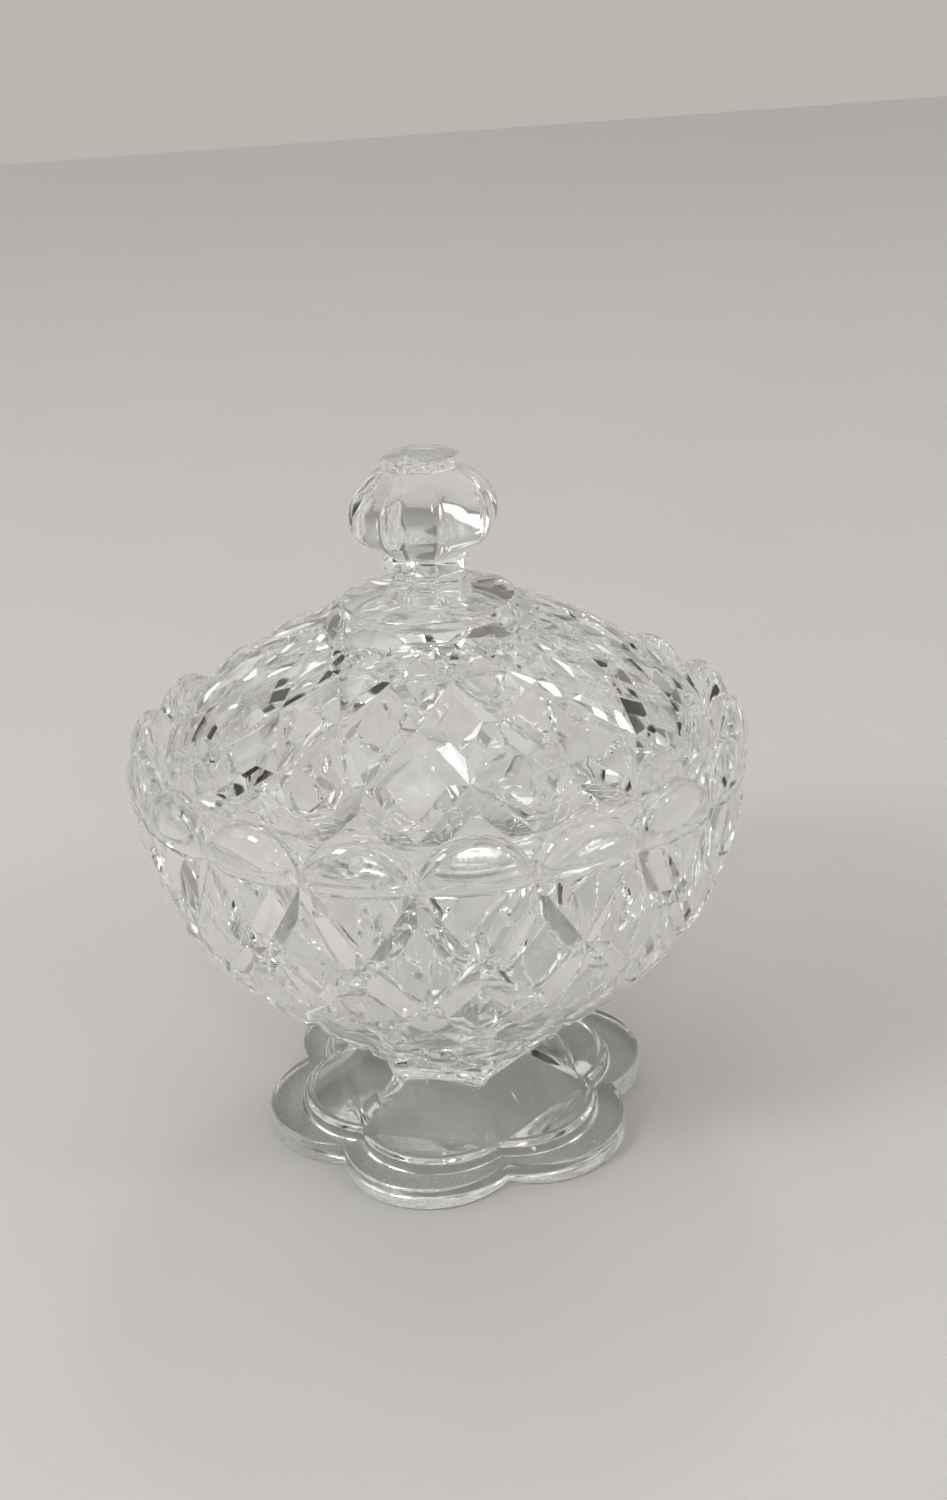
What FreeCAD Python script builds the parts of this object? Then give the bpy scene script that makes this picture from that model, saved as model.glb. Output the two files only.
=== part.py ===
import FreeCAD, Part
import Sketcher
import math
import os

# Footed glass trinket box with a loose lid, in millimetres.
# The origin is on the table under the middle of the foot and +Z is up. Two lobes of the foot lie along X,
# and a notch between two lobes faces -Y. The bowl and the foot are one body, the lid and its knob another.

doc = FreeCAD.newDocument("trinket_box")
sizes = doc.addObject("Spreadsheet::Sheet", "sizes")
filled_rows = []


def cells(title, values):
    """Adds one titled block of named sizes to the sheet."""
    filled_rows.append(title)
    sizes.set("A%d" % len(filled_rows), title)
    for alias, value in values.items():
        filled_rows.append(alias)
        row = len(filled_rows)
        sizes.set("A%d" % row, alias)
        sizes.set("B%d" % row, str(value))
        sizes.setAlias("B%d" % row, alias)


def size(alias):
    return float(getattr(sizes, alias))


cells("foot", {
    "lobe_centre": 23.9,          # from the upright axis to the centre of a lobe
    "lobe_radius": 19.7,
    "plate_height": 5.2,
    "step_centre": 17.0,
    "step_radius": 18.4,
    "step_height": 6.4,
    "recess_centre": 18.0,
    "recess_radius": 18.0,
    "recess_depth": 1.5,
    "facet_radius": 30.2,         # corner radius of the six facets where they leave the step
    "hollow_low_radius": 29.0,    # corner radius of the hollow under the facets, at the table
    "hollow_high_radius": 15.5,
    "hollow_height": 9.4,
    "neck_radius": 19.9,
    "neck_start": 14.7,
    "neck_top": 17.5,
})
cells("bowl cutting, rings of corners from the neck to the rim", {
    "bowl_ring0_radius": 18.6,
    "bowl_ring1_height": 21.8,
    "bowl_ring1_radius": 24.6,
    "bowl_ring2_height": 27.4,
    "bowl_ring2_radius": 30.2,
    "bowl_ring3_height": 35.0,
    "bowl_ring3_radius": 38.4,
    "bowl_ring4_height": 45.1,
    "bowl_ring4_radius": 48.8,
    "bowl_ring5_height": 56.9,
    "bowl_ring5_radius": 57.2,
    "bowl_ring6_height": 69.6,
    "bowl_ring6_radius": 61.8,
    "bowl_ring7_radius": 63.4,
})
cells("rim of the bowl", {
    "ledge_height": 86.0,
    "ledge_inner_radius": 53.5,
    "mouth_radius": 57.4,
    "rim_root_height": 82.0,
    "rim_root_radius": 55.5,
    "petal_base_radius": 62.2,
    "petal_shoulder_height": 95.0,
    "petal_outer_radius": 63.8,
    "petal_bulge": 6.5,           # radius of the petal's outer face, seen from the side
    "petal_tip_inner_radius": 59.0,
    "petal_tip_round": 2.8,
    "petal_inner_height": 93.0,
    "petal_arch": 10.85,          # radius of the petal's round top, seen from the front
    "notch_top": 99.0,
})
cells("inside of the bowl", {
    "floor_height": 26.5,
    "wall_low_height": 36.0,
    "wall_low_radius": 31.5,
    "wall_mid_height": 57.0,
    "wall_mid_radius": 50.0,
    "wall_low_round": 50.0,
    "wall_high_round": 90.0,
})
cells("lid", {
    "lid_turn": 2.6,              # the loose lid sits turned by a few degrees
    "lid_radius": 56.6,
    "lid_edge_height": 95.8,
    "lid_ring0_height": 90.0,
    "lid_ring0_radius": 53.0,
    "lid_ring1_radius": 56.2,
    "lid_ring2_height": 100.6,
    "lid_ring2_radius": 50.4,
    "lid_ring3_height": 108.6,
    "lid_ring3_radius": 39.8,
    "lid_ring4_height": 113.8,
    "lid_ring4_radius": 29.6,
    "lid_ring5_height": 116.8,
    "lid_ring5_radius": 22.8,
    "lid_top_height": 119.0,
    "lid_top_radius": 18.4,
    "lid_hollow_radius": 51.0,
    "lid_hollow_shoulder": 92.0,
    "lid_hollow_top": 114.5,
})
cells("knob", {
    "disc_radius": 17.9,
    "disc_thickness": 2.0,
    "stem_foot_radius": 9.4,
    "stem_radius": 6.9,
    "stem_top": 126.6,
    "collar_radius": 8.8,
    "collar_top": 130.6,
    "ball_low_height": 132.4,
    "ball_low_radius": 11.2,
    "ball_swell_height": 134.2,
    "ball_swell_radius": 14.0,
    "ball_wide_height": 136.8,
    "ball_wide_radius": 15.6,
    "ball_shoulder_height": 140.4,
    "ball_shoulder_radius": 15.2,
    "ball_high_height": 144.6,
    "ball_high_radius": 12.5,
    "ball_top": 147.6,
    "ball_top_radius": 8.8,
    "cap_radius": 8.1,
    "cap_top": 150.0,
})
doc.recompute()

LOBES = 6
BOWL_CUTS = 18
LID_CUTS = 16
KNOB_SIDES = 8
UP = FreeCAD.Vector(0, 0, 1)


def bind(thing, **expressions):
    """Binds properties of an object to the sheet; two underscores in a name stand for a dot."""
    for name, expression in expressions.items():
        thing.setExpression(name.replace("__", "."), expression)
    return thing


def joined(name, parts):
    fused = doc.addObject("Part::MultiFuse", name)
    fused.Shapes = parts
    fused.Refine = True
    return fused


def cut(name, base, tool):
    result = doc.addObject("Part::Cut", name)
    result.Base = base
    result.Tool = tool
    return result


def origin_feature(body, role):
    return [feature for feature in body.Origin.OriginFeatures if feature.Role == role][0]


def outline(body, name, corners, arcs):
    """A closed sketch on the body's XZ plane, all its corners fixed by cells of the sheet.

    A corner is (distance from the upright axis, height), as expressions; None is a corner on the axis.
    arcs maps a side's number to (radius, way): way is 1 where the arc turns left along the outline, else -1.
    The centre of an arc whose radius is None lies on the upright axis, so that it turns into part of a ball.
    """
    sketch = body.newObject("Sketcher::SketchObject", name)
    sketch.AttachmentSupport = [(origin_feature(body, "XZ_Plane"), "")]
    sketch.MapMode = "FlatFace"
    points = [FreeCAD.Vector(worth(across), worth(height), 0) for across, height in corners]
    ends = []
    for side, start in enumerate(points):
        end = points[(side + 1) % len(points)]
        if side not in arcs:
            ends.append((sketch.addGeometry(Part.LineSegment(start, end)), 1, 2))
            continue
        radius, way = arcs[side]
        if radius is None:
            level = (start.Length ** 2 - end.Length ** 2) / (2 * (start.y - end.y))
            centre = FreeCAD.Vector(0, level, 0)
        else:
            chord = end - start
            across = UP.cross(chord).normalize()
            rise = math.sqrt(worth(radius) ** 2 - (chord.Length / 2) ** 2)
            centre = (start + end) * 0.5 + across * rise * way
        first, last = (start, end) if way > 0 else (end, start)
        first_angle = math.atan2(first.y - centre.y, first.x - centre.x)
        last_angle = math.atan2(last.y - centre.y, last.x - centre.x)
        if last_angle < first_angle:
            last_angle += 2 * math.pi
        circle = Part.Circle(centre, UP, (start - centre).Length)
        made = sketch.addGeometry(Part.ArcOfCircle(circle, first_angle, last_angle))
        ends.append((made, 1, 2) if way > 0 else (made, 2, 1))
    for side, (made, start_end, far_end) in enumerate(ends):
        following, following_end, unused_end = ends[(side + 1) % len(ends)]
        sketch.addConstraint(Sketcher.Constraint("Coincident", made, far_end, following, following_end))
        across, height = corners[side]
        if across is None:
            sketch.addConstraint(Sketcher.Constraint("PointOnObject", made, start_end, -2))
        else:
            number = sketch.addConstraint(
                Sketcher.Constraint("DistanceX", -1, 1, made, start_end, worth(across)))
            sketch.setExpression("Constraints[%d]" % number, across)
        number = sketch.addConstraint(
            Sketcher.Constraint("DistanceY", -1, 1, made, start_end, worth(height)))
        sketch.setExpression("Constraints[%d]" % number, height)
        if side in arcs and arcs[side][0] is None:
            sketch.addConstraint(Sketcher.Constraint("PointOnObject", made, 3, -2))
        elif side in arcs:
            number = sketch.addConstraint(Sketcher.Constraint("Radius", made, worth(arcs[side][0])))
            sketch.setExpression("Constraints[%d]" % number, arcs[side][0])
    return sketch


def worth(expression):
    """The value in millimetres of an expression over the sheet's cells; None is on the axis."""
    if expression is None:
        return 0.0
    return float(sizes.evalExpression(expression))


def turned(body, name, sketch):
    """The whole turn of a sketch about the upright axis."""
    revolution = body.newObject("PartDesign::Revolution", name)
    revolution.Profile = sketch
    revolution.ReferenceAxis = (sketch, ["V_Axis"])
    revolution.Angle = 360
    return revolution


def cut_skin(name, rings, count, turn):
    """A closed facetted solid: rings of corners, each half a step round from the ring below it.

    The triangles between two rings pair up into the upright diamonds of the cutting.
    """
    corners = []
    for number, (radius, height) in enumerate(rings):
        ring = []
        for place in range(count):
            angle = math.radians(turn + 360 / count * (place + number / 2))
            ring.append(FreeCAD.Vector(radius * math.cos(angle), radius * math.sin(angle), height))
        corners.append(ring)
    faces = []
    for lower, upper in zip(corners, corners[1:]):
        for place in range(count):
            beside = (place + 1) % count
            for triangle in ((lower[place], lower[beside], upper[place]),
                             (upper[place], lower[beside], upper[beside])):
                faces.append(Part.Face(Part.makePolygon(triangle + triangle[:1])))
    for ring in (corners[0], corners[-1]):
        faces.append(Part.Face(Part.makePolygon(ring + ring[:1])))
    skin = doc.addObject("Part::Feature", name)
    skin.Shape = Part.makeSolid(Part.makeShell(faces))
    return skin


def lobed_block(name, centre, radius, bottom, height):
    """Six upright cylinders round a core, which make the outline of six round lobes."""
    cylinders = []
    for lobe in range(LOBES):
        cylinder = doc.addObject("Part::Cylinder", "%s_lobe%d" % (name, lobe))
        angle = 360 // LOBES * lobe
        bind(cylinder, Radius=radius, Height=height, Placement__Base__z=bottom,
             Placement__Base__x="%s * cos(%d deg)" % (centre, angle),
             Placement__Base__y="%s * sin(%d deg)" % (centre, angle))
        cylinders.append(cylinder)
    core = doc.addObject("Part::Cylinder", name + "_core")
    bind(core, Radius=centre, Height=height, Placement__Base__z=bottom)
    return joined(name, cylinders + [core])


def polygon_loft(name, sides, turn, sections):
    """A facetted solid through regular polygons, each (corner radius, height), with straight sides between."""
    polygons = []
    for number, (radius, height) in enumerate(sections):
        polygon = doc.addObject("Part::RegularPolygon", "%s_section%d" % (name, number))
        polygon.Polygon = sides
        polygon.Placement.Rotation = FreeCAD.Rotation(UP, turn)
        bind(polygon, Circumradius=radius, Placement__Base__z=height)
        polygons.append(polygon)
    loft = doc.addObject("Part::Loft", name)
    loft.Sections = polygons
    loft.Solid = True
    loft.Ruled = True
    return loft


# Foot: a six-lobed plate with a lobed step and six flat facets up to a hexagonal neck. Under it a shallow
# lobed recess makes it stand on a ring, and a six-sided hollow follows the facets.
plate = lobed_block("plate", "sizes.lobe_centre", "sizes.lobe_radius", "0", "sizes.plate_height")
step = lobed_block("step", "sizes.step_centre", "sizes.step_radius", "0", "sizes.step_height")
recess = lobed_block("recess", "sizes.recess_centre", "sizes.recess_radius",
                     "-sizes.recess_depth", "2 * sizes.recess_depth")
notch_turn = 180 / LOBES
facets = polygon_loft("facets", LOBES, notch_turn, [
    ("sizes.facet_radius", "sizes.step_height"),
    ("sizes.neck_radius", "sizes.neck_start"),
    ("sizes.neck_radius", "sizes.neck_top"),
])
hollow = polygon_loft("hollow", LOBES, notch_turn, [
    ("sizes.hollow_low_radius", "0"),
    ("sizes.hollow_high_radius", "sizes.hollow_height"),
])
foot = cut("foot", joined("foot_block", [plate, step, facets]), joined("underside", [recess, hollow]))
foot.Label = "foot"

# Bowl: the outside is diamond cutting, the rim carries a ring of round-topped petals, and the inside is
# smooth with a ledge for the lid.
bowl_rings = [(size("bowl_ring0_radius"), size("neck_top"))]
for ring_number in range(1, 7):
    bowl_rings.append((size("bowl_ring%d_radius" % ring_number), size("bowl_ring%d_height" % ring_number)))
bowl_rings.append((size("bowl_ring7_radius"), size("ledge_height")))
valley_turn = 90 % (360 / BOWL_CUTS)
bowl_skin = cut_skin("bowl_skin", bowl_rings, BOWL_CUTS, valley_turn - 180 / BOWL_CUTS * 7)

petals = doc.addObject("PartDesign::Body", "petals")
petal_side = outline(petals, "petal_side", [
    ("sizes.rim_root_radius", "sizes.rim_root_height"),
    ("sizes.petal_base_radius", "sizes.rim_root_height"),
    ("sizes.petal_base_radius", "sizes.ledge_height"),
    ("sizes.petal_outer_radius", "sizes.petal_shoulder_height"),
    ("sizes.petal_tip_inner_radius", "sizes.petal_shoulder_height"),
    ("sizes.rim_root_radius", "sizes.petal_inner_height"),
], {2: ("sizes.petal_bulge", 1), 3: ("sizes.petal_tip_round", 1)})
petal_ring = turned(petals, "petal_ring", petal_side)
notch = outline(petals, "notch", [
    (None, "sizes.ledge_height"),
    ("sizes.petal_arch", "sizes.ledge_height + sizes.petal_arch"),
    ("sizes.petal_arch", "sizes.notch_top"),
    ("-sizes.petal_arch", "sizes.notch_top"),
    ("-sizes.petal_arch", "sizes.ledge_height + sizes.petal_arch"),
], {0: ("sizes.petal_arch", -1), 4: ("sizes.petal_arch", -1)})
first_notch = petals.newObject("PartDesign::Pocket", "first_notch")
first_notch.Profile = notch
first_notch.Type = "ThroughAll"
first_notch.Midplane = True
notches = petals.newObject("PartDesign::PolarPattern", "notches")
notches.Originals = [first_notch]
notches.Axis = (origin_feature(petals, "Z_Axis"), [""])
notches.Angle = 360
notches.Occurrences = BOWL_CUTS
petals.Tip = notches

bowl_hollow = doc.addObject("PartDesign::Body", "bowl_hollow")
bowl_inside = outline(bowl_hollow, "bowl_inside", [
    (None, "sizes.floor_height"),
    ("sizes.wall_low_radius", "sizes.wall_low_height"),
    ("sizes.wall_mid_radius", "sizes.wall_mid_height"),
    ("sizes.ledge_inner_radius", "sizes.ledge_height"),
    ("sizes.mouth_radius", "sizes.ledge_height"),
    ("sizes.mouth_radius", "sizes.notch_top"),
    (None, "sizes.notch_top"),
], {0: (None, 1), 1: ("sizes.wall_low_round", 1), 2: ("sizes.wall_high_round", 1)})
turned(bowl_hollow, "bowl_space", bowl_inside)
bowl = cut("bowl", joined("bowl_block", [bowl_skin, petals]), bowl_hollow)
bowl.Label = "bowl"

# Lid: a round edge that lies on the ledge, a dome of diamond cutting with a flat top, and a smooth hollow
# under it.
lid_edge = doc.addObject("Part::Cylinder", "lid_edge")
bind(lid_edge, Radius="sizes.lid_radius", Height="sizes.lid_edge_height - sizes.ledge_height",
     Placement__Base__z="sizes.ledge_height")
lid_rings = [(size("lid_ring0_radius"), size("lid_ring0_height")),
             (size("lid_ring1_radius"), size("lid_edge_height"))]
for ring_number in range(2, 6):
    lid_rings.append((size("lid_ring%d_radius" % ring_number), size("lid_ring%d_height" % ring_number)))
lid_rings.append((size("lid_top_radius"), size("lid_top_height")))
lid_skin = cut_skin("lid_skin", lid_rings, LID_CUTS, 90 + size("lid_turn") - 180 / LID_CUTS)
lid_hollow = doc.addObject("PartDesign::Body", "lid_hollow")
lid_inside = outline(lid_hollow, "lid_inside", [
    (None, "sizes.ledge_height"),
    ("sizes.lid_hollow_radius", "sizes.ledge_height"),
    ("sizes.lid_hollow_radius", "sizes.lid_hollow_shoulder"),
    (None, "sizes.lid_hollow_top"),
], {2: (None, 1)})
turned(lid_hollow, "lid_space", lid_inside)
lid = cut("lid", joined("lid_block", [lid_edge, lid_skin]), lid_hollow)
lid.Label = "lid"

# Knob: a round disc on the top of the lid, and above it a facetted stem, collar, ball and cap.
disc = doc.addObject("Part::Cylinder", "disc")
bind(disc, Radius="sizes.disc_radius", Height="sizes.disc_thickness", Placement__Base__z="sizes.lid_top_height")
knob_turn = 90 + size("lid_turn") + 180 / LID_CUTS + 180 / KNOB_SIDES
stem = polygon_loft("stem", KNOB_SIDES, knob_turn, [
    ("sizes.stem_foot_radius", "sizes.lid_top_height + sizes.disc_thickness"),
    ("sizes.stem_radius", "sizes.stem_top"),
])
collar = polygon_loft("collar", KNOB_SIDES, knob_turn, [
    ("sizes.collar_radius", "sizes.stem_top"),
    ("sizes.collar_radius", "sizes.collar_top"),
])
ball = polygon_loft("ball", KNOB_SIDES, knob_turn, [
    ("sizes.collar_radius", "sizes.collar_top"),
    ("sizes.ball_low_radius", "sizes.ball_low_height"),
    ("sizes.ball_swell_radius", "sizes.ball_swell_height"),
    ("sizes.ball_wide_radius", "sizes.ball_wide_height"),
    ("sizes.ball_shoulder_radius", "sizes.ball_shoulder_height"),
    ("sizes.ball_high_radius", "sizes.ball_high_height"),
    ("sizes.ball_top_radius", "sizes.ball_top"),
])
cap = polygon_loft("cap", KNOB_SIDES, knob_turn, [
    ("sizes.cap_radius", "sizes.ball_top"),
    ("sizes.cap_radius", "sizes.cap_top"),
])
knob = joined("knob", [disc, stem, collar, ball, cap])
knob.Label = "knob"

doc.recompute()
for thing in doc.Objects:
    if "Invalid" in thing.State or "Error" in thing.State:
        raise RuntimeError("%s did not compute: %s" % (thing.Name, thing.State))
if petals.Shape.Volume >= petal_ring.Shape.Volume:
    raise RuntimeError("the notches cut nothing from the rim")

os.makedirs("parts", exist_ok=True)
for node in (bowl, foot, lid, knob):
    if node.Shape.isNull() or not node.Shape.isValid():
        raise RuntimeError("%s has no valid shape" % node.Label)
    box = node.Shape.BoundBox
    print("%s: %d solid, %.1f cm3, x %.2f to %.2f, y %.2f to %.2f, z %.2f to %.2f" % (
        node.Label, len(node.Shape.Solids), node.Shape.Volume / 1000,
        box.XMin, box.XMax, box.YMin, box.YMax, box.ZMin, box.ZMax))
    node.Shape.exportStep("parts/%s.step" % node.Label)
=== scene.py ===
import math
import bpy
import bmesh
from mathutils import Matrix, Vector


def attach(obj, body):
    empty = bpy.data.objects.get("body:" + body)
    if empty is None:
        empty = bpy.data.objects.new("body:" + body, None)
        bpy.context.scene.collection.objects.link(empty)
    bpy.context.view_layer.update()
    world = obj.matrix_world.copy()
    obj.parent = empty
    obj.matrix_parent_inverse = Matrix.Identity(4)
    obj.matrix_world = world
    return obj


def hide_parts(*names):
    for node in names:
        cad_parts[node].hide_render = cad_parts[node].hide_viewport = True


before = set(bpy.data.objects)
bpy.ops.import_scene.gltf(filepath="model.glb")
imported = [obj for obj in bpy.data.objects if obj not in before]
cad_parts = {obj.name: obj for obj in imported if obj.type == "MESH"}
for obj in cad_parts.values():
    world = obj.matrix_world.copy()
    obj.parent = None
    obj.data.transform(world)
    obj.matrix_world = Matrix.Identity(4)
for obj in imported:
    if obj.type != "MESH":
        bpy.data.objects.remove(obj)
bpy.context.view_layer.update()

# ---------------------------------------------------------------------------------------------------
# Bowl: heavy colourless glass pressed in a mould. V cuts from corner to corner leave its outside in rows of
# cushion-faced diamonds, under a crown of half-moon petals. The inside is smooth, with a flat ledge for the
# lid. A short six-sided stub underneath was joined hot to the foot.

MM = 0.001
BOWL_CUTS = 18
BOWL_DIAMOND_SHARE = 0.62
NECK_JOIN = 17.3
NECK_RADIUS = 19.9
STUB_TOP = 19.6
LEDGE = 86.0
LEDGE_OPENING = 53.5
# (radius, height) where the bottoms of the cuts cross, from the ledge down to the stub
BOWL_CROSSINGS = [(62.4, 86.0), (59.9, 69.6), (56.1, 56.9), (47.6, 45.3), (39.4, 37.3), (32.0, 30.7),
                  (26.0, 24.6), (19.6, 19.0)]
# the uncut glass at each row of crossings and halfway between rows
BOWL_SURFACE = [(64.7, 86.0), (63.95, 78.0), (62.1, 69.2), (60.0, 62.6), (57.1, 56.3), (53.2, 50.5),
                (48.4, 44.8), (44.3, 40.6), (40.0, 36.5), (36.4, 33.3), (32.7, 29.6), (30.1, 26.9),
                (27.0, 24.1), (23.8, 21.5), (20.4, 19.0)]
# the smooth inside, from the middle of its floor up to the ledge
BOWL_INSIDE = [(0, 26.5), (10.8, 27.6), (21.5, 31.1), (31.5, 36.0), (39.2, 41.3), (45.6, 48.6), (50.0, 57.0),
               (52.2, 66.5), (53.2, 76.0), (LEDGE_OPENING, 85.4)]
# a petal springs from the rim just above the ledge, and is fullest and highest in its middle
PETAL_INNER, PETAL_OUTER = 57.5, 62.5
PETAL_SWELL, PETAL_THINNING = 2.2, 1.0
PETAL_SPRING, PETAL_HEIGHT = 0.6, 9.8
PETAL_ROUNDING, PETAL_SQUARENESS = 0.86, 0.80
PETAL_LEAN = 0.55
PETAL_ROOT, PETAL_SHOULDER = 2.0, 0.3
PETAL_OVERLAP = 1.013


def spot(radius, turn, height):
    """The point at that radius and height in millimetres, turned round the upright axis from the front."""
    return Vector((radius * math.sin(turn), -radius * math.cos(turn), height)) * MM


def along(points, place):
    """A point of the smooth line through the points; the place is counted in points from the first."""
    first = min(int(place), len(points) - 2)
    gone = place - first
    before, after = Vector(points[max(first - 1, 0)]), Vector(points[min(first + 2, len(points) - 1)])
    start, end = Vector(points[first]), Vector(points[first + 1])
    return 0.5 * (2 * start + (end - before) * gone
                  + (2 * before - 5 * start + 4 * end - after) * gone ** 2
                  + (3 * start - 3 * end + after - before) * gone ** 3)


def eased(points, parts):
    """The smooth line through the points as a row of short straight ones."""
    return [tuple(along(points, number / parts)) for number in range((len(points) - 1) * parts + 1)]


def rounded(corner, before, after, reach, parts=5):
    """Short curved stretch of a side view in place of a sharp corner between two straight ones."""
    corner, before, after = Vector(corner), Vector(before), Vector(after)
    start = corner + (before - corner).normalized() * reach
    end = corner + (after - corner).normalized() * reach
    line = []
    for part in range(parts + 1):
        gone = part / parts
        line.append(tuple(start * (1 - gone) ** 2 + corner * 2 * gone * (1 - gone) + end * gone ** 2))
    return line


def new_piece(name, mesh):
    piece = bpy.data.objects.new(name, mesh)
    bpy.context.scene.collection.objects.link(piece)
    return piece


def closed_mesh(name, made):
    """A piece from a bmesh: shared points welded, faces outwards and smooth."""
    bmesh.ops.remove_doubles(made, verts=made.verts, dist=1e-7)
    bmesh.ops.recalc_face_normals(made, faces=made.faces)
    for face in made.faces:
        face.smooth = True
    mesh = bpy.data.meshes.new(name)
    made.to_mesh(mesh)
    made.free()
    return new_piece(name, mesh)


def turned_blank(name, side_view, columns):
    """A solid of revolution; the side view runs from the axis, round the outside and back to the axis."""
    made = bmesh.new()
    rings = []
    for radius, height in side_view:
        if radius == 0:
            rings.append([made.verts.new((0, 0, height * MM))])
            continue
        rings.append([made.verts.new(spot(radius, math.tau * column / columns, height))
                      for column in range(columns)])
    for lower, upper in zip(rings, rings[1:]):
        for column in range(columns):
            beside = (column + 1) % columns
            corners = [lower[column % len(lower)], lower[beside % len(lower)],
                       upper[beside % len(upper)], upper[column % len(upper)]]
            made.faces.new(list(dict.fromkeys(corners)))
    return closed_mesh(name, made)


def worked(blank, tool, operation):
    """Cuts the tool away from the blank, or joins it on, and throws the tool away."""
    step = blank.modifiers.new(operation, "BOOLEAN")
    step.operation = operation
    step.solver = "MANIFOLD"
    step.object = tool
    bpy.context.view_layer.objects.active = blank
    bpy.ops.object.modifier_apply(modifier=step.name)
    bpy.data.objects.remove(tool)


def diamond_cutting(name, crossings, surface, count, turn, share):
    """A solid whose side is crossed by V cuts that leave rows of diamonds standing.

    crossings is where the bottoms of the cuts meet, row by row from the rim; surface is the uncut glass at
    each row and halfway between rows. share is how much of a whole diamond its cushioned top takes up.
    """
    made = bmesh.new()
    half, parts, last = math.pi / count, 4, len(crossings) - 1
    steps = range(parts + 1)

    def crossing(row, step):
        return spot(crossings[row][0], turn + half * step, crossings[row][1])

    for row in range(last + 1):
        for diamond in range(count):
            step = 2 * diamond + (row + 1) % 2
            # the top is a grid whose two directions run down to the right and down to the left
            top = {}
            for to_right in steps:
                for to_left in steps:
                    above_rim = row == 0 and to_right + to_left < parts
                    below_end = row == last and to_right + to_left > parts
                    if above_rim or below_end:
                        continue
                    down, across = (to_right + to_left) / parts - 1, (to_right - to_left) / parts
                    radius, height = along(surface, 2 * (row + share * down))
                    top[to_right, to_left] = made.verts.new(
                        spot(radius, turn + half * (step + share * across), height))
            for to_right in range(parts):
                for to_left in range(parts):
                    around = [(to_right, to_left), (to_right, to_left + 1),
                              (to_right + 1, to_left + 1), (to_right + 1, to_left)]
                    kept = [top[corner] for corner in around if corner in top]
                    if len(kept) > 2:
                        made.faces.new(kept)
            # each flank goes from one side of the top down to the bottom of the cut beside it
            left, right = crossing(row, step - 1), crossing(row, step + 1)
            flanks = []
            if row > 0:
                upper = crossing(row - 1, step)
                flanks += [(upper, right, [(number, 0) for number in steps]),
                           (left, upper, [(0, parts - number) for number in steps])]
            if row < last:
                lower = crossing(row + 1, step)
                flanks += [(right, lower, [(parts, number) for number in steps]),
                           (lower, left, [(parts - number, parts) for number in steps])]
            for start, end, side in flanks:
                bottom = [made.verts.new(start.lerp(end, number / parts)) for number in steps]
                for number in range(parts):
                    made.faces.new([bottom[number], bottom[number + 1],
                                    top[side[number + 1]], top[side[number]]])
    bmesh.ops.remove_doubles(made, verts=made.verts, dist=3e-7)
    open_edges = [edge for edge in made.edges if edge.is_boundary]
    level = (crossings[0][1] + crossings[-1][1]) * MM / 2
    for row in (0, last):
        middle = made.verts.new((0, 0, crossings[row][1] * MM))
        for edge in open_edges:
            if (edge.verts[0].co.z > level) == (crossings[row][1] * MM > level):
                made.faces.new([edge.verts[0], edge.verts[1], middle])
    return closed_mesh(name, made)


def petal_crown(blank, count, first):
    """Joins on every other half-moon petal of the rim, each a vault from one valley to the next."""
    made = bmesh.new()
    stations, sweep = 30, 24
    span = math.pi / count
    for petal in range(first, count, 2):
        middle = span * (2 * petal + 1)
        loops = []
        for station in range(stations + 1):
            across = -math.cos(math.pi * station / stations)
            fullness = math.sqrt(max(1 - across ** 2, 0))
            turn = middle + span * across * PETAL_OVERLAP
            outer = PETAL_OUTER + PETAL_SWELL * fullness
            inner = PETAL_INNER + PETAL_THINNING * (1 - fullness)
            half_depth, centre = (outer - inner) / 2, (outer + inner) / 2
            loop = [made.verts.new(spot(outer - 1.7, turn, LEDGE - PETAL_ROOT)),
                    made.verts.new(spot(outer - 1.3, turn, LEDGE - PETAL_SHOULDER))]
            for part in range(sweep + 1):
                angle = math.pi * part / sweep
                rise = math.sin(angle) ** PETAL_ROUNDING
                push = math.copysign(abs(math.cos(angle)) ** PETAL_SQUARENESS, math.cos(angle))
                lean = PETAL_LEAN * fullness * math.sin(math.pi * min(rise, 1))
                height = LEDGE + PETAL_SPRING + (PETAL_HEIGHT * fullness - 0.1) * rise
                radius = centre + half_depth * push + lean
                loop.append(made.verts.new(spot(radius, turn, height)))
            loop.append(made.verts.new(spot(inner + 0.6, turn, LEDGE - PETAL_ROOT)))
            loops.append(loop)
        for loop, following in zip(loops, loops[1:]):
            for place in range(len(loop)):
                beside = (place + 1) % len(loop)
                made.faces.new([loop[place], loop[beside], following[beside], following[place]])
        made.faces.new(loops[0][::-1])
        made.faces.new(loops[-1])
    worked(blank, closed_mesh("petal", made), "UNION")


def six_sided_stub(blank, radius, low, high):
    """Joins on the short six-sided stub that was brought together hot with the foot."""
    made = bmesh.new()
    rings = [[made.verts.new(spot(radius, math.tau * corner / 6, height)) for corner in range(6)]
             for height in (low, high)]
    made.faces.new(rings[0])
    made.faces.new(rings[1][::-1])
    for corner in range(6):
        beside = (corner + 1) % 6
        made.faces.new([rings[0][corner], rings[0][beside], rings[1][beside], rings[1][corner]])
    worked(blank, closed_mesh("stub", made), "UNION")


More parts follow.
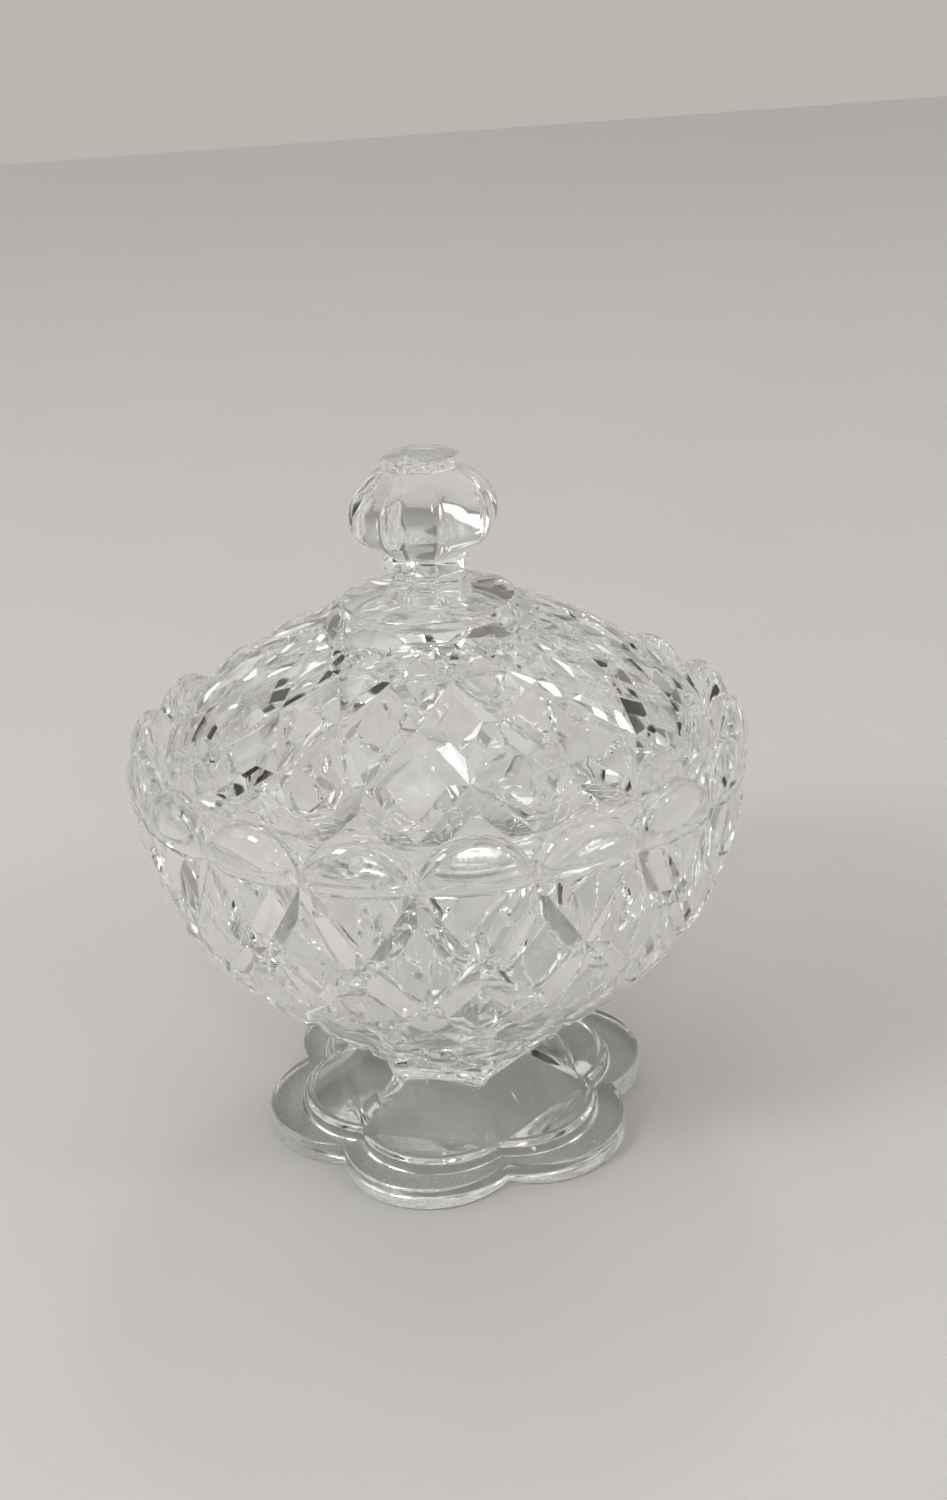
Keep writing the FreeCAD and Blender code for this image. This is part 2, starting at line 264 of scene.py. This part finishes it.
bowl = diamond_cutting("bowl_cut_glass", BOWL_CROSSINGS, BOWL_SURFACE, BOWL_CUTS, 0, BOWL_DIAMOND_SHARE)
petal_crown(bowl, BOWL_CUTS, 0)
petal_crown(bowl, BOWL_CUTS, 1)
bowl_space = eased(BOWL_INSIDE, 4)
bowl_space += rounded((LEDGE_OPENING, LEDGE), (LEDGE_OPENING, 80), (57, LEDGE), 0.6)
bowl_space += [(54.4, 86.3), (54.4, 90), (0, 90)]
worked(bowl, turned_blank("space", bowl_space, 144), "DIFFERENCE")
six_sided_stub(bowl, NECK_RADIUS, NECK_JOIN, STUB_TOP)


def shared_group(name, inputs, output):
    """An empty node group with its input sockets and one output socket."""
    group = bpy.data.node_groups.new(name, "ShaderNodeTree")
    for label, value in inputs:
        socket = group.interface.new_socket(name=label, in_out="INPUT", socket_type="NodeSocketFloat")
        socket.default_value = value
    group.interface.new_socket(name=output, in_out="OUTPUT", socket_type="NodeSocketFloat")
    return group, group.nodes.new("NodeGroupInput").outputs, group.nodes.new("NodeGroupOutput").inputs


def object_place(tree):
    """Where a point of the surface is on the piece itself, in metres."""
    return tree.nodes.new("ShaderNodeTexCoord").outputs["Object"]


def math_node(tree, operation, first, second):
    """A math node; each of its two values is a socket or a number."""
    node = tree.nodes.new("ShaderNodeMath")
    node.operation = operation
    for socket, value in zip(node.inputs, (first, second)):
        if isinstance(value, (int, float)):
            socket.default_value = value
        else:
            tree.links.new(value, socket)
    return node.outputs[0]


def noise(tree, place, stretch, detail, roughness=0.5):
    """Noise with its own grain: stretch is how many times it repeats in a millimetre along each axis."""
    mapping = tree.nodes.new("ShaderNodeMapping")
    mapping.inputs["Scale"].default_value = [times / MM for times in stretch]
    grain = tree.nodes.new("ShaderNodeTexNoise")
    grain.inputs["Scale"].default_value = 1
    grain.inputs["Detail"].default_value = detail
    grain.inputs["Roughness"].default_value = roughness
    tree.links.new(place, mapping.inputs["Vector"])
    tree.links.new(mapping.outputs["Vector"], grain.inputs["Vector"])
    return grain.outputs["Fac"]


def eased_range(tree, value, low, high, to_low, to_high):
    """A smooth step from to_low to to_high while the value goes from low to high."""
    node = tree.nodes.new("ShaderNodeMapRange")
    node.interpolation_type = "SMOOTHSTEP"
    tree.links.new(value, node.inputs["Value"])
    for label, setting in (("From Min", low), ("From Max", high), ("To Min", to_low), ("To Max", to_high)):
        if isinstance(setting, (int, float)):
            node.inputs[label].default_value = setting
        else:
            tree.links.new(setting, node.inputs[label])
    return node.outputs["Result"]


# the slow waves and the fine chill marks that a mould leaves in pressed glass
ripple, entry, leaving = shared_group("mould_ripple", [("Waves", 1.0), ("Chill", 1.0)], "Height")
place = object_place(ripple)
waves = math_node(ripple, "MULTIPLY", noise(ripple, place, (0.11, 0.11, 0.08), 1), entry["Waves"])
chill = math_node(ripple, "MULTIPLY", noise(ripple, place, (0.9, 0.9, 0.6), 2), entry["Chill"])
ripple.links.new(math_node(ripple, "ADD", waves, chill), leaving["Height"])

# fingerprints, wipe marks and dust on polished glass
film, entry, leaving = shared_group("handling_film", [("Smudged", 0.1), ("Dust", 0.5)], "Roughness")
place = object_place(film)
touched = eased_range(film, noise(film, place, (0.06, 0.06, 0.05), 3), 0.50, 0.68, 0.0, 1.0)
wiped = eased_range(film, noise(film, place, (0.35, 0.35, 0.12), 3), 0.42, 0.7, 0.3, 1.0)
smudges = eased_range(film, math_node(film, "MULTIPLY", touched, wiped), 0.0, 1.0, 0.0, entry["Smudged"])
cells = film.nodes.new("ShaderNodeTexVoronoi")
cells.inputs["Scale"].default_value = 0.22 / MM
film.links.new(place, cells.inputs["Vector"])
specks = eased_range(film, cells.outputs["Distance"], 0.02, 0.045, entry["Dust"], 0.0)
film.links.new(math_node(film, "MAXIMUM", smudges, specks), leaving["Roughness"])

# glass rubbed dull where it stands or is stood on: between two heights and within a radius, in millimetres
rubbed, entry, leaving = shared_group(
    "rubbed_band", [("Low", 0.0), ("High", 0.3), ("Within", 50.0), ("Dull", 0.4)], "Roughness")
place = object_place(rubbed)
apart = rubbed.nodes.new("ShaderNodeSeparateXYZ")
rubbed.links.new(place, apart.inputs["Vector"])
height = math_node(rubbed, "DIVIDE", apart.outputs["Z"], MM)
above_low = math_node(rubbed, "GREATER_THAN", height, entry["Low"])
below_high = math_node(rubbed, "LESS_THAN", height, entry["High"])
level_place = rubbed.nodes.new("ShaderNodeVectorMath")
level_place.operation = "MULTIPLY"
level_place.inputs[1].default_value = (1 / MM, 1 / MM, 0)
rubbed.links.new(place, level_place.inputs[0])
from_axis = rubbed.nodes.new("ShaderNodeVectorMath")
from_axis.operation = "LENGTH"
rubbed.links.new(level_place.outputs["Vector"], from_axis.inputs[0])
within = math_node(rubbed, "LESS_THAN", from_axis.outputs["Value"], entry["Within"])
scratched = eased_range(rubbed, noise(rubbed, place, (2.2, 2.2, 2.2), 4, 0.65), 0.4, 0.62, 0.0, entry["Dull"])
band = math_node(rubbed, "MULTIPLY", math_node(rubbed, "MULTIPLY", above_low, below_high), within)
rubbed.links.new(math_node(rubbed, "MULTIPLY", band, scratched), leaving["Roughness"])


def placed_group(tree, group, settings):
    """A shared group placed in a material, with this material's own values."""
    node = tree.nodes.new("ShaderNodeGroup")
    node.node_tree = group
    for label, value in settings.items():
        node.inputs[label].default_value = value
    return node.outputs[0]


def pressed_glass(name, tints, waves, chill, smudged, dust, band, dull, arris):
    """Clear pressed glass.

    tints are the two colours it drifts between; waves and chill are the mould's ripple; band is (low, high,
    radius) of the part rubbed dull; arris is how far its sharp edges are softened. Lengths in millimetres.
    """
    glass = bpy.data.materials.new(name)
    glass.use_nodes = True
    tree = glass.node_tree
    shader = tree.nodes["Principled BSDF"]
    shader.inputs["Metallic"].default_value = 0.0
    shader.inputs["Transmission Weight"].default_value = 1.0
    shader.inputs["IOR"].default_value = 1.52

    drift = tree.nodes.new("ShaderNodeValToRGB")
    for stop, position, tint in zip(drift.color_ramp.elements, (0.35, 0.65), tints):
        stop.position = position
        stop.color = tint
    tree.links.new(noise(tree, object_place(tree), (0.04, 0.04, 0.09), 1), drift.inputs["Fac"])
    tree.links.new(drift.outputs["Color"], shader.inputs["Base Color"])

    handled = placed_group(tree, film, {"Smudged": smudged, "Dust": dust})
    worn = placed_group(tree, rubbed, {"Low": band[0], "High": band[1], "Within": band[2], "Dull": dull})
    tree.links.new(math_node(tree, "MAXIMUM", handled, worn), shader.inputs["Roughness"])

    bump = tree.nodes.new("ShaderNodeBump")
    bump.inputs["Distance"].default_value = MM
    bump.inputs["Strength"].default_value = 1.0
    tree.links.new(placed_group(tree, ripple, {"Waves": waves, "Chill": chill}), bump.inputs["Height"])
    soft_arris = tree.nodes.new("ShaderNodeBevel")
    soft_arris.samples = 4
    soft_arris.inputs["Radius"].default_value = arris * MM
    tree.links.new(soft_arris.outputs["Normal"], bump.inputs["Normal"])
    tree.links.new(bump.outputs["Normal"], shader.inputs["Normal"])
    return glass


# where two pieces were joined hot the glass runs on, so their touching faces are not to be seen
joined_glass = bpy.data.materials.new("joined_glass")
joined_glass.use_nodes = True
joined_glass.node_tree.nodes["Principled BSDF"].inputs["Alpha"].default_value = 0.0


def dressed(piece, glass, join_height, join_radius, sharpest):
    """Glass all over with its arrises crisp, but joined glass where the piece runs into its neighbour."""
    piece.data.set_sharp_from_angle(angle=math.radians(sharpest))
    piece.data.materials.clear()
    piece.data.materials.append(glass)
    piece.data.materials.append(joined_glass)
    for face in piece.data.polygons:
        corners = [piece.data.vertices[corner].co for corner in face.vertices]
        joined = all(abs(corner.z - join_height * MM) < 2e-6 and corner.xy.length < (join_radius + 0.05) * MM
                     for corner in corners)
        face.material_index = 1 if joined else 0


bowl_glass = pressed_glass("bowl_glass", ((0.985, 0.99, 0.985, 1), (0.994, 0.994, 0.99, 1)),
                           waves=0.16, chill=0.003, smudged=0.045, dust=0.3,
                           band=(85.9, 86.05, 57.0), dull=0.14, arris=0.22)
dressed(bowl, bowl_glass, NECK_JOIN, NECK_RADIUS, 15)
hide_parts("bowl")
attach(bowl, "bowl")

# ---------------------------------------------------------------------------------------------------
# Foot: a thick pressed plate with six round lobes, a lobed step on it, and six flat facets that rise to the
# six-sided neck. It is hollow underneath, in the same six-sided shape, and stands on a lobed ring.

LOBES = 6
LOBE_COLUMNS = 28
# (distance of a lobe's middle from the axis, radius of the lobe)
PLATE, STEP, RECESS = (23.9, 19.7), (17.0, 18.4), (18.0, 18.0)
PLATE_TOP, STEP_FOOT, STEP_TOP = 5.2, 5.4, 6.6
RECESS_CEILING = 1.6
HOLLOW_CEILING, HOLLOW_RADIUS, HOLLOW_MOUTH = 9.6, 15.5, 27.0
FACET_LOW, FACET_RISE, FACET_DISH = 6.3, 8.4, 0.12
FACET_PARTS = 12


def lobed(outline, inset, turn):
    """Distance from the upright axis to an outline of six arcs, each (distance to its middle, radius)."""
    middle, radius = outline
    off = (turn % (math.tau / LOBES)) - math.pi / LOBES
    return middle * math.cos(off) + math.sqrt(radius ** 2 - (middle * math.sin(off)) ** 2) - inset


def six_sided(radius, turn):
    """Distance from the upright axis to a six-sided outline whose corners are at that radius."""
    off = (turn % (math.tau / LOBES)) - math.pi / LOBES
    return radius * math.cos(math.pi / LOBES) / math.cos(off)


def foot_side_view(turn):
    """The foot's section at one turn round the axis, from the middle of its underside up to the neck."""
    crown, mouth = six_sided(HOLLOW_RADIUS, turn), six_sided(HOLLOW_MOUTH, turn)
    side = [(0, HOLLOW_CEILING)]
    side += rounded((crown, HOLLOW_CEILING), (0, HOLLOW_CEILING), (six_sided(29, turn), 0.5), 1.2, 4)
    side += rounded((mouth, 1.9), (crown, HOLLOW_CEILING), (40, 1.8), 1.2, 4)
    recess = lobed(RECESS, 0.6, turn)
    side += [(lobed(RECESS, 2.5, turn), 1.7)]
    side += rounded((recess, RECESS_CEILING), (lobed(RECESS, 3.0, turn), 1.7), (lobed(RECESS, -0.4, turn), 0),
                    0.5, 3)
    side += rounded((lobed(RECESS, 0.0, turn), 0), (recess, RECESS_CEILING), (lobed(RECESS, -3.0, turn), 0),
                    0.5, 3)
    plate = lobed(PLATE, 0, turn)
    side += rounded((plate, 0), (plate - 3, 0), (plate, 3), 0.7, 5)
    side += rounded((plate, PLATE_TOP), (plate, 3), (plate - 3, 5.3), 1.0, 6)
    step = lobed(STEP, 0, turn)
    side += rounded((step + 0.2, STEP_FOOT), (step + 3, STEP_FOOT), (step - 0.5, 6.4), 0.4, 4)
    side += rounded((step - 0.7, STEP_TOP), (step + 0.1, 5.6), (step - 3, STEP_TOP), 0.5, 5)
    inner, neck = step - 2.0, six_sided(20.0, turn)
    side += [(inner + 0.3, 6.5)]
    for part in range(FACET_PARTS + 1):
        gone = part / FACET_PARTS
        rise = FACET_RISE * ((1 - FACET_DISH) * gone + FACET_DISH * gone ** 2)
        side.append((inner + (neck - inner) * gone, FACET_LOW + rise))
    side += [(six_sided(NECK_RADIUS, turn), 15.1), (six_sided(NECK_RADIUS, turn), NECK_JOIN), (0, NECK_JOIN)]
    return side


made = bmesh.new()
columns = []
for column in range(LOBES * LOBE_COLUMNS):
    turn = math.tau * column / (LOBES * LOBE_COLUMNS)
    columns.append([made.verts.new(spot(radius, turn, height)) for radius, height in foot_side_view(turn)])
for column, following in zip(columns, columns[1:] + columns[:1]):
    for place in range(len(column) - 1):
        made.faces.new([column[place], following[place], following[place + 1], column[place + 1]])
foot = closed_mesh("lobed_foot", made)
foot_glass = pressed_glass("foot_glass", ((0.986, 0.99, 0.987, 1), (0.995, 0.994, 0.991, 1)),
                           waves=0.10, chill=0.002, smudged=0.04, dust=0.4,
                           band=(-0.1, 0.12, 50.0), dull=0.35, arris=0.25)
dressed(foot, foot_glass, NECK_JOIN, NECK_RADIUS, 24)
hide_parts("foot")
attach(foot, "bowl")

# ---------------------------------------------------------------------------------------------------
# Lid: a pressed dome with the same V-cut diamonds, sixteen round it to the bowl's eighteen. It is smooth and
# hollow inside, and its plain round edge lies loose on the ledge of the bowl, turned a little.

LID_CUTS = 16
LID_DIAMOND_SHARE = 0.57
LID_TURN = math.radians(2.6)
LID_SEAT, LID_TOP = 86.1, 119.0
LID_EDGE_RADIUS = 56.6
LID_OPENING = 51.5
DISC_RADIUS = 17.9
LID_CROSSINGS = [(56.3, 92.5), (49.0, 100.4), (39.0, 107.8), (29.0, 113.1), (20.8, 116.8)]
LID_SURFACE = [(LID_EDGE_RADIUS, 92.5), (54.8, 97.0), (49.9, 101.3), (44.9, 104.85), (39.4, 108.45),
               (34.6, 111.3), (29.3, 113.95), (25.3, 115.75), (21.2, 117.75)]
LID_INSIDE = [(0, 114.5), (12.0, 113.5), (24.0, 110.3), (36.0, 104.6), (45.0, 98.2), (49.6, 93.8),
              (51.2, 90.2), (51.4, 86.8)]

lid = diamond_cutting("lid_cut_glass", LID_CROSSINGS, LID_SURFACE, LID_CUTS, LID_TURN, LID_DIAMOND_SHARE)
lid_edge = [(0, LID_SEAT)]
lid_edge += rounded((LID_EDGE_RADIUS, LID_SEAT), (52, LID_SEAT), (LID_EDGE_RADIUS, 90), 0.5, 4)
lid_edge += [(LID_EDGE_RADIUS, 92.5), (56.0, 92.9), (0, 92.9)]
worked(lid, turned_blank("edge", lid_edge, 192), "UNION")
lid_crown = [(0, 112), (23, 113), (22.3, 117.0), (18.6, LID_TOP), (DISC_RADIUS, LID_TOP), (0, LID_TOP)]
worked(lid, turned_blank("crown", lid_crown, 192), "UNION")
lid_space = eased(LID_INSIDE, 5) + rounded((LID_OPENING, LID_SEAT), (LID_OPENING, 90), (56, LID_SEAT), 0.5, 4)
lid_space += [(52.4, 85.7), (52.4, 84), (0, 84)]
worked(lid, turned_blank("space", lid_space, 144), "DIFFERENCE")
lid_glass = pressed_glass("lid_glass", ((0.987, 0.991, 0.988, 1), (0.996, 0.994, 0.991, 1)),
                          waves=0.16, chill=0.003, smudged=0.05, dust=0.3,
                          band=(86.0, 86.2, 57.0), dull=0.14, arris=0.22)
dressed(lid, lid_glass, LID_TOP, DISC_RADIUS, 15)
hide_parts("lid")
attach(lid, "lid")

# ---------------------------------------------------------------------------------------------------
# Knob: a thin round disc on the crown of the lid, with an eight-sided stem, collar, ball and cap drawn up
# from it in one piece. The ball's eight panels meet in soft ribs. It is joined hot to the lid.

KNOB_SIDES = 8
KNOB_TURN = LID_TURN + math.pi / LID_CUTS + math.pi / KNOB_SIDES + math.radians(5)
BALL_RIB, PLAIN_RIB = 0.09, 0.02
RIB_PARTS = 8
DISC_TOP = 121.0
COLLAR_RADIUS, COLLAR_LOW, COLLAR_TOP = 8.8, 127.0, 130.5
CAP_RADIUS, CAP_LOW, CAP_TOP = 8.1, 148.0, 150.0
STEM_SIDE = [(9.6, 120.4), (8.9, 122.2), (7.5, 124.6), (6.9, 126.2)]
BALL_SIDE = [(9.4, 130.9), (11.4, 132.1), (13.6, 133.7), (14.8, 135.5), (15.2, 137.3), (15.15, 139.1),
             (14.8, 140.9), (14.0, 142.5), (12.8, 144.0), (11.3, 145.5), (9.6, 146.7), (8.6, 147.3)]


def ribbed_ring(made, radius, height):
    """One level of the knob: eight panels, each bulging a little, that meet in ribs at the corners."""
    rib = radius * (BALL_RIB if BALL_SIDE[0][1] <= height <= BALL_SIDE[-1][1] else PLAIN_RIB)
    lean = math.pi / KNOB_SIDES
    swell = rib / (2 * math.sin(lean))
    ring = []
    for corner in range(KNOB_SIDES):
        middle = KNOB_TURN + math.tau * corner / KNOB_SIDES
        for part in range(RIB_PARTS + 1):
            around = 2 * lean * (2 * part / RIB_PARTS - 1)
            out, across = radius - swell + swell * math.cos(around), swell * math.sin(around)
            turn = middle + math.atan2(across, out)
            ring.append(made.verts.new(spot(math.hypot(out, across), turn, height)))
    return ring


knob_side = eased(STEM_SIDE, 4)
knob_side += rounded((COLLAR_RADIUS, COLLAR_LOW), (7.4, 126.6), (COLLAR_RADIUS, 129), 0.35, 3)
knob_side += rounded((COLLAR_RADIUS, COLLAR_TOP), (COLLAR_RADIUS, 129), (8, COLLAR_TOP), 0.35, 3)
knob_side += [(8.7, 130.7)] + eased(BALL_SIDE, 3) + [(7.9, 147.6)]
knob_side += rounded((CAP_RADIUS, CAP_LOW), (7.9, 147.7), (CAP_RADIUS, 149), 0.2, 2)
knob_side += rounded((CAP_RADIUS, CAP_TOP), (CAP_RADIUS, 149), (7, CAP_TOP), 0.6, 4)
made = bmesh.new()
rings = [ribbed_ring(made, radius, height) for radius, height in knob_side]
made.faces.new(rings[0])
made.faces.new(rings[-1][::-1])
for lower, upper in zip(rings, rings[1:]):
    for corner in range(len(lower)):
        beside = (corner + 1) % len(lower)
        made.faces.new([lower[corner], lower[beside], upper[beside], upper[corner]])
ball = closed_mesh("ball", made)
disc_side = [(0, LID_TOP), (DISC_RADIUS, LID_TOP)]
disc_side += rounded((DISC_RADIUS, DISC_TOP), (DISC_RADIUS, LID_TOP), (10, DISC_TOP), 0.7, 5)
disc_side += [(0, DISC_TOP)]
knob = turned_blank("facetted_knob", disc_side, 128)
worked(knob, ball, "UNION")
knob_glass = pressed_glass("knob_glass", ((0.988, 0.990, 0.986, 1), (0.996, 0.995, 0.992, 1)),
                           waves=0.08, chill=0.0015, smudged=0.07, dust=0.3,
                           band=(149.9, 150.1, 9.0), dull=0.15, arris=0.22)
dressed(knob, knob_glass, LID_TOP, DISC_RADIUS, 14)
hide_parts("knob")
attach(knob, "lid")

# ---------------------------------------------------------------------------------------------------
# Studio: a plain pale paper floor just under the foot, a pale room round it, four soft lamps, and the
# camera, a little above the lid and looking down at the bowl.

FLOOR_HALF, FLOOR_LEVEL = 3, -0.0003
floor_corners = [(-FLOOR_HALF, -FLOOR_HALF, FLOOR_LEVEL), (FLOOR_HALF, -FLOOR_HALF, FLOOR_LEVEL),
                 (FLOOR_HALF, FLOOR_HALF, FLOOR_LEVEL), (-FLOOR_HALF, FLOOR_HALF, FLOOR_LEVEL)]
floor_mesh = bpy.data.meshes.new("floor")
floor_mesh.from_pydata(floor_corners, [], [(0, 1, 2, 3)])
floor = new_piece("floor", floor_mesh)
paper = bpy.data.materials.new("pale_floor")
paper.use_nodes = True
tree = paper.node_tree
shader = tree.nodes["Principled BSDF"]
shader.inputs["Specular IOR Level"].default_value = 0.25
place = object_place(tree)
mottle = tree.nodes.new("ShaderNodeValToRGB")
mottle.color_ramp.elements[0].color = (0.735, 0.715, 0.687, 1)
mottle.color_ramp.elements[1].color = (0.765, 0.748, 0.722, 1)
tree.links.new(noise(tree, place, (0.01, 0.01, 0.01), 3), mottle.inputs["Fac"])
tree.links.new(mottle.outputs["Color"], shader.inputs["Base Color"])
fibres = noise(tree, place, (1.4, 1.4, 1.4), 3)
tree.links.new(eased_range(tree, fibres, 0.3, 0.7, 0.5, 0.68), shader.inputs["Roughness"])
bump = tree.nodes.new("ShaderNodeBump")
bump.inputs["Strength"].default_value = 0.3
bump.inputs["Distance"].default_value = 0.05 * MM
tree.links.new(fibres, bump.inputs["Height"])
tree.links.new(bump.outputs["Normal"], shader.inputs["Normal"])
floor_mesh.materials.append(paper)

# The room that the glass picks up: pale walls, a brighter ceiling, and darker and brighter things round it.
# Each thing is (turn and rise as seen from the table, how far it spreads, its shade), in degrees.
ROOM_LIGHT = 0.66
PLAIN_WALL = (0.75, 0.708, 0.655, 1)
DARK_THINGS = (
    (-72, 12, 20, (0.05, 0.045, 0.04)), (-38, 34, 10, (0.07, 0.065, 0.06)), (-5, 12, 13, (0.06, 0.05, 0.045)),
    (38, 9, 16, (0.04, 0.035, 0.03)), (84, 40, 12, (0.22, 0.21, 0.19)), (112, 12, 15, (0.04, 0.035, 0.03)),
    (152, 22, 14, (0.30, 0.285, 0.26)), (178, 48, 12, (0.07, 0.065, 0.06)),
    (-145, 30, 15, (0.05, 0.04, 0.035)), (-8, 56, 11, (0.07, 0.07, 0.065)),
    (60, 68, 10, (0.09, 0.085, 0.08)), (-105, 62, 12, (0.07, 0.07, 0.065)))
BRIGHT_THINGS = (
    (-104, 30, 14, (2.6, 2.65, 2.75)), (62, 30, 9, (2.4, 2.35, 2.2)), (20, 40, 8, (2.2, 2.2, 2.2)),
    (-160, 62, 9, (2.2, 2.2, 2.2)), (130, 44, 9, (2.0, 2.0, 1.95)), (-30, 75, 9, (2.4, 2.4, 2.4)),
    (-172, 8, 9, (1.8, 1.75, 1.65)), (-48, 8, 6, (2.0, 2.0, 1.9)))

world = bpy.data.worlds.new("studio")
bpy.context.scene.world = world
world.use_nodes = True
tree = world.node_tree
looking = tree.nodes.new("ShaderNodeTexCoord").outputs["Generated"]
apart = tree.nodes.new("ShaderNodeSeparateXYZ")
tree.links.new(looking, apart.inputs["Vector"])
walls = tree.nodes.new("ShaderNodeValToRGB")
walls.color_ramp.elements[0].color = (0.42, 0.402, 0.375, 1)
walls.color_ramp.elements[1].color = (1.0, 0.985, 0.955, 1)
tree.links.new(eased_range(tree, apart.outputs["Z"], -0.1, 0.75, 0.0, 1.0), walls.inputs["Fac"])


def over(tree, below, above, amount):
    """One colour laid over another as far as the amount says."""
    mix = tree.nodes.new("ShaderNodeMix")
    mix.data_type = "RGBA"
    tree.links.new(amount, mix.inputs["Factor"])
    tree.links.new(below, mix.inputs["A"])
    mix.inputs["B"].default_value = above
    return mix.outputs["Result"]


room = walls.outputs["Color"]
for turn, rise, spread, shade in DARK_THINGS + BRIGHT_THINGS:
    turn, rise = math.radians(turn), math.radians(rise)
    towards = tree.nodes.new("ShaderNodeVectorMath")
    towards.operation = "DOT_PRODUCT"
    towards.inputs[1].default_value = (math.sin(turn) * math.cos(rise), -math.cos(turn) * math.cos(rise),
                                       math.sin(rise))
    tree.links.new(looking, towards.inputs[0])
    edge, core = math.cos(math.radians(spread)), math.cos(math.radians(spread * 0.8))
    room = over(tree, room, (*shade, 1), eased_range(tree, towards.outputs["Value"], edge, core, 0.0, 1.0))
# looked at directly, the room is one plain wall
room = over(tree, room, PLAIN_WALL, tree.nodes.new("ShaderNodeLightPath").outputs["Is Camera Ray"])
tree.links.new(room, tree.nodes["Background"].inputs["Color"])
tree.nodes["Background"].inputs["Strength"].default_value = ROOM_LIGHT

# (name, place in metres, width in metres, power in watts)
LAMPS = (
    ("window", (-1.0, -0.35, 0.9), 0.34, 4.4),
    ("lamp", (0.75, -0.8, 1.0), 0.12, 1.1),
    ("spot", (-0.25, -1.1, 1.1), 0.09, 0.9),
    ("back", (0.35, 0.9, 1.5), 0.2, 1.5))
LAMPS_AIM = Vector((0, 0, 0.08))
for lamp_name, place, width, power in LAMPS:
    lamp = bpy.data.lights.new(lamp_name, "AREA")
    lamp.size = width
    lamp.energy = power
    holder = new_piece(lamp_name, lamp)
    holder.location = place
    holder.rotation_euler = (LAMPS_AIM - Vector(place)).to_track_quat("-Z", "Y").to_euler()

# The camera stands CAMERA_RISE (radians) above the level line through AIM_HEIGHT, at CAMERA_DISTANCE metres.
CAMERA_TURN, CAMERA_RISE = math.radians(-14.9), 0.468
CAMERA_DISTANCE, AIM_HEIGHT = 0.3649, 0.06615
PAN, TILT, ROLL = 0.023, -0.049, -0.052
camera_data = bpy.data.cameras.new("camera")
camera_data.lens = 40.37
camera_data.clip_start = 0.01
camera = new_piece("camera", camera_data)
bpy.context.scene.camera = camera
dip = CAMERA_RISE + TILT
ahead = Vector((math.sin(PAN) * math.cos(dip), math.cos(PAN) * math.cos(dip), -math.sin(dip)))
level = Vector((math.cos(PAN), -math.sin(PAN), 0))
upright = level.cross(ahead)
right = level * math.cos(ROLL) + upright * math.sin(ROLL)
above = upright * math.cos(ROLL) - level * math.sin(ROLL)
stand = Vector((0, -math.cos(CAMERA_RISE), math.sin(CAMERA_RISE))) * CAMERA_DISTANCE
stand += Vector((0, 0, AIM_HEIGHT))
pose = Matrix.Translation(stand) @ Matrix((right, above, -ahead)).transposed().to_4x4()
camera.matrix_world = Matrix.Rotation(CAMERA_TURN, 4, "Z") @ pose

bpy.context.scene.cycles.max_bounces = 40
bpy.context.scene.cycles.transmission_bounces = 40
bpy.context.scene.cycles.glossy_bounces = 24
bpy.context.scene.view_settings.view_transform = "Standard"
